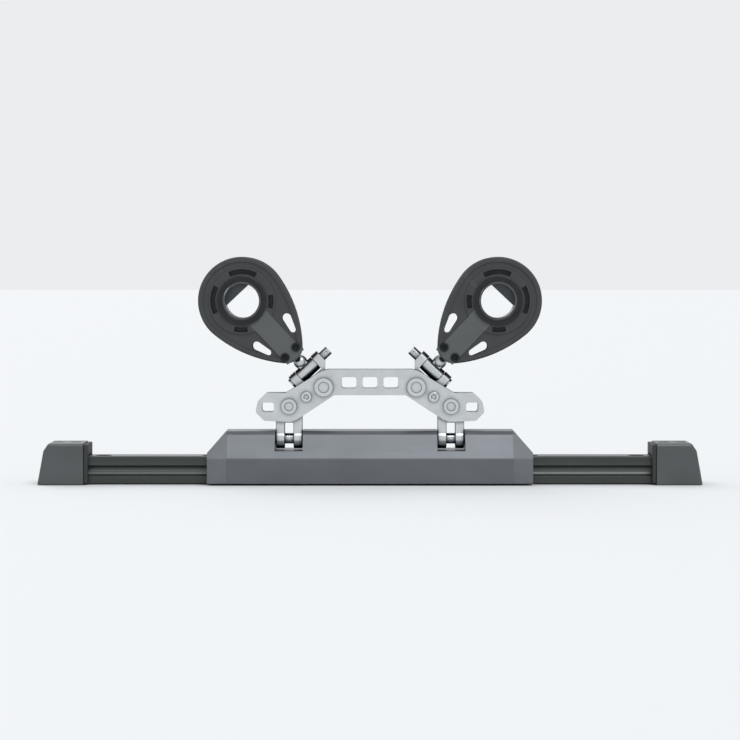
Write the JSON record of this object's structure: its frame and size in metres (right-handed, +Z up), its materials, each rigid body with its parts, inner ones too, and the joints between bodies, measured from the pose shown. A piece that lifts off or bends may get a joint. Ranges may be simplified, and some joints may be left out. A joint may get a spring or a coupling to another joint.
{
  "type": "mainsheet traveller",
  "caption": "Mainsheet traveller: a ball-bearing car on a deck track with end stops, carrying a tilting steel bridge with two hinged lead blocks for a double-ended sheet.",
  "frame": {"origin": "middle of the track's underside, on the deck", "axes": "+X along the track to starboard as seen from the front, +Y from front to rear, +Z up from the deck"},
  "size_m": [0.62, 0.062, 0.2122],
  "materials": {
    "track_anodised": "dark grey hard-anodised extrusion",
    "stop_anodised": "grey anodised casting, satin",
    "bumper_rubber": "moulded black rubber",
    "car_anodised": "grey anodised extrusion, satin",
    "car_cap_plastic": "grey moulded nylon",
    "fastener_steel": "turned stainless steel",
    "pin_steel": "polished stainless steel",
    "screw_black": "blackened stainless steel",
    "bridge_steel": "satin stainless steel plate",
    "ball_polymer": "moulded bearing polymer",
    "guide_polymer": "black moulded polymer",
    "cheek_composite": "dark grey glass-filled nylon, moulded",
    "hub_anodised": "dark grey anodised, turned",
    "sheave_anodised": "black hard-anodised, turned"
  },
  "bodies": {
    "track": {"track_rail": "track_anodised", "end_stop_left": "stop_anodised", "end_stop_right": "stop_anodised", "end_stop_bumper_left": "bumper_rubber", "end_stop_bumper_right": "bumper_rubber", "end_stop_screws": "fastener_steel"},
    "car": {"car_body": "car_anodised", "car_end_cap_left": "car_cap_plastic", "car_end_cap_right": "car_cap_plastic", "car_cap_screws_left": "fastener_steel", "car_cap_screws_right": "fastener_steel", "ball_train_front": "ball_polymer", "ball_train_rear": "ball_polymer", "ball_guide_front": "guide_polymer", "ball_guide_rear": "guide_polymer", "tilt_pin_left": "pin_steel", "tilt_pin_right": "pin_steel"},
    "bridge": {"toggle_left": "bridge_steel", "toggle_right": "bridge_steel", "bridge_plate_front": "bridge_steel", "bridge_plate_rear": "bridge_steel", "lower_pin_left": "pin_steel", "lower_pin_right": "pin_steel", "knee_pin_left": "pin_steel", "knee_pin_right": "pin_steel", "bridge_cotters": "pin_steel", "bridge_spacers": "pin_steel", "bridge_bolts": "fastener_steel", "bridge_nuts": "fastener_steel"},
    "link_left": {"block_link_left": "bridge_steel", "cross_pin_left": "pin_steel", "cross_cotter_left": "pin_steel"},
    "block_left": {"head_post_left": "pin_steel", "cheek_front_left": "cheek_composite", "cheek_rear_left": "cheek_composite", "hub_left": "hub_anodised", "hub_ring_front_left": "hub_anodised", "hub_ring_rear_left": "hub_anodised", "bearing_rollers_left": "ball_polymer", "head_bolts_left": "screw_black"},
    "sheave_left": {"sheave_left": "sheave_anodised"},
    "link_right": {"block_link_right": "bridge_steel", "cross_pin_right": "pin_steel", "cross_cotter_right": "pin_steel"},
    "block_right": {"head_post_right": "pin_steel", "cheek_front_right": "cheek_composite", "cheek_rear_right": "cheek_composite", "hub_right": "hub_anodised", "hub_ring_front_right": "hub_anodised", "hub_ring_rear_right": "hub_anodised", "bearing_rollers_right": "ball_polymer", "head_bolts_right": "screw_black"},
    "sheave_right": {"sheave_right": "sheave_anodised"}
  },
  "joints": [
    {"name": "car_slide", "type": "slide", "parent": "track", "child": "car", "axis": [1, 0, 0], "range_m": [-0.111, 0.111]},
    {"name": "bridge_tilt", "type": "hinge", "parent": "car", "child": "bridge", "pos_m": [0, 0, 0.042], "axis": [1, 0, 0], "range_deg": [-24, 24]},
    {"name": "link_left_swing", "type": "hinge", "parent": "bridge", "child": "link_left", "pos_m": [-0.0433, 0, 0.0904], "axis": [0, 1, 0], "range_deg": [-10, 38]},
    {"name": "block_left_swing", "type": "hinge", "parent": "link_left", "child": "block_left", "pos_m": [-0.05839, 0, 0.10641], "axis": [0.7278, 0, 0.6858], "range_deg": [-45, 45]},
    {"name": "sheave_left_spin", "type": "hinge", "parent": "block_left", "child": "sheave_left", "pos_m": [-0.11943, 0, 0.17118], "axis": [0, 1, 0], "continuous": true},
    {"name": "link_right_swing", "type": "hinge", "parent": "bridge", "child": "link_right", "pos_m": [0.0433, 0, 0.0904], "axis": [0, 1, 0], "range_deg": [-38, 10]},
    {"name": "block_right_swing", "type": "hinge", "parent": "link_right", "child": "block_right", "pos_m": [0.05839, 0, 0.10641], "axis": [0.7278, 0, -0.6858], "range_deg": [-45, 45]},
    {"name": "sheave_right_spin", "type": "hinge", "parent": "block_right", "child": "sheave_right", "pos_m": [0.11943, 0, 0.17118], "axis": [0, 1, 0], "continuous": true}
  ]
}
